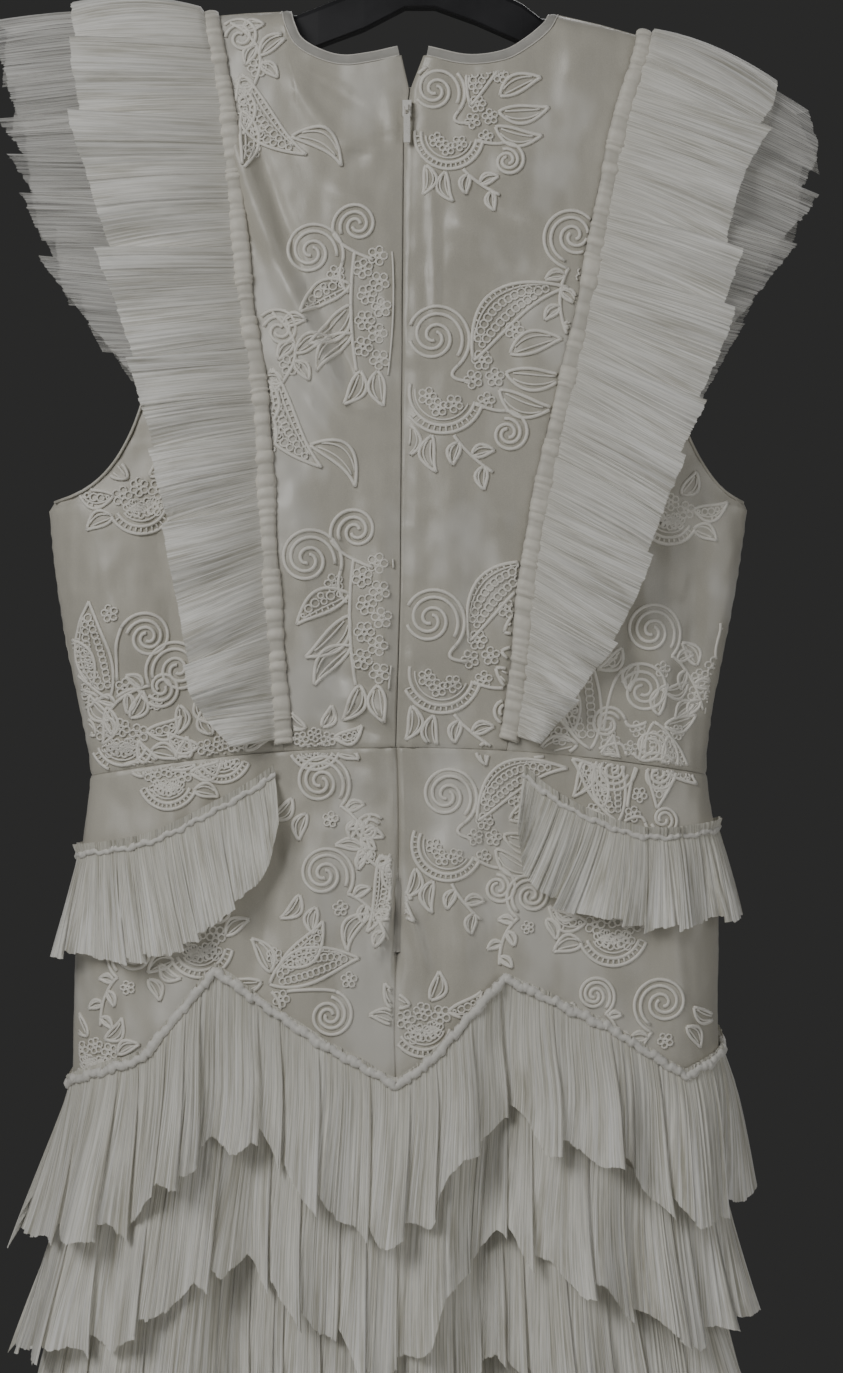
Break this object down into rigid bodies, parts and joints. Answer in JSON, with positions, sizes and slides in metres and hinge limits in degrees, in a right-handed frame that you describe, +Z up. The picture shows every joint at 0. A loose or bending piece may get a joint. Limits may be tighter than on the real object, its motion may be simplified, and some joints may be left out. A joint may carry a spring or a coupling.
{
  "type": "ruffled dress on a hanger",
  "caption": "Sleeveless ivory dress with pleated shoulder ruffles, hip frills, zigzag tiers of pleated frills and a back zip, hung flat on a hanger.",
  "frame": {"origin": "inside top of the hanger's hook, where it hangs", "axes": "+Z up, the dress's back faces -Y, +X to the right as seen from behind the dress"},
  "size_m": [0.5058, 0.1977, 1.1479],
  "materials": {
    "satin": "ivory satin under embroidered net",
    "tulle": "fine crinkle-pleated ivory tulle",
    "organza": "sheer ivory organza",
    "casing": "gathered cream satin",
    "hanger_plastic": "moulded near-black plastic",
    "hook_steel": "bright steel wire",
    "zip_metal": "light enamelled metal"
  },
  "bodies": {
    "dress": {"back_centre_left": "satin", "back_centre_right": "satin", "back_side_left": "satin", "back_side_right": "satin", "front_centre": "satin", "front_side_left": "satin", "front_side_right": "satin", "yoke_back_left": "satin", "yoke_back_right": "satin", "yoke_front": "satin", "underskirt": "satin", "ruffle_top_left": "tulle", "ruffle_top_right": "tulle", "ruffle_under_left": "tulle", "ruffle_under_right": "tulle", "hip_ruffle_left": "tulle", "hip_ruffle_right": "tulle", "tier_1": "tulle", "tier_2": "tulle", "tier_3": "tulle", "tier_4": "tulle", "tier_5": "tulle", "neck_binding_back_left": "organza", "neck_binding_back_right": "organza", "neck_binding_front": "organza", "zip_chain": "organza", "casing_left": "casing", "casing_right": "casing", "hanger": "hanger_plastic", "hanger_hook": "hook_steel", "zip_slider": "zip_metal"},
    "zip_pull": {"zip_pull": "zip_metal"}
  },
  "joints": [
    {"name": "zip_pull_swing", "type": "hinge", "parent": "dress", "child": "zip_pull", "pos_m": [-0.00789, -0.02448, -0.165], "axis": [-1, 0, 0], "range_deg": [0, 150]}
  ]
}
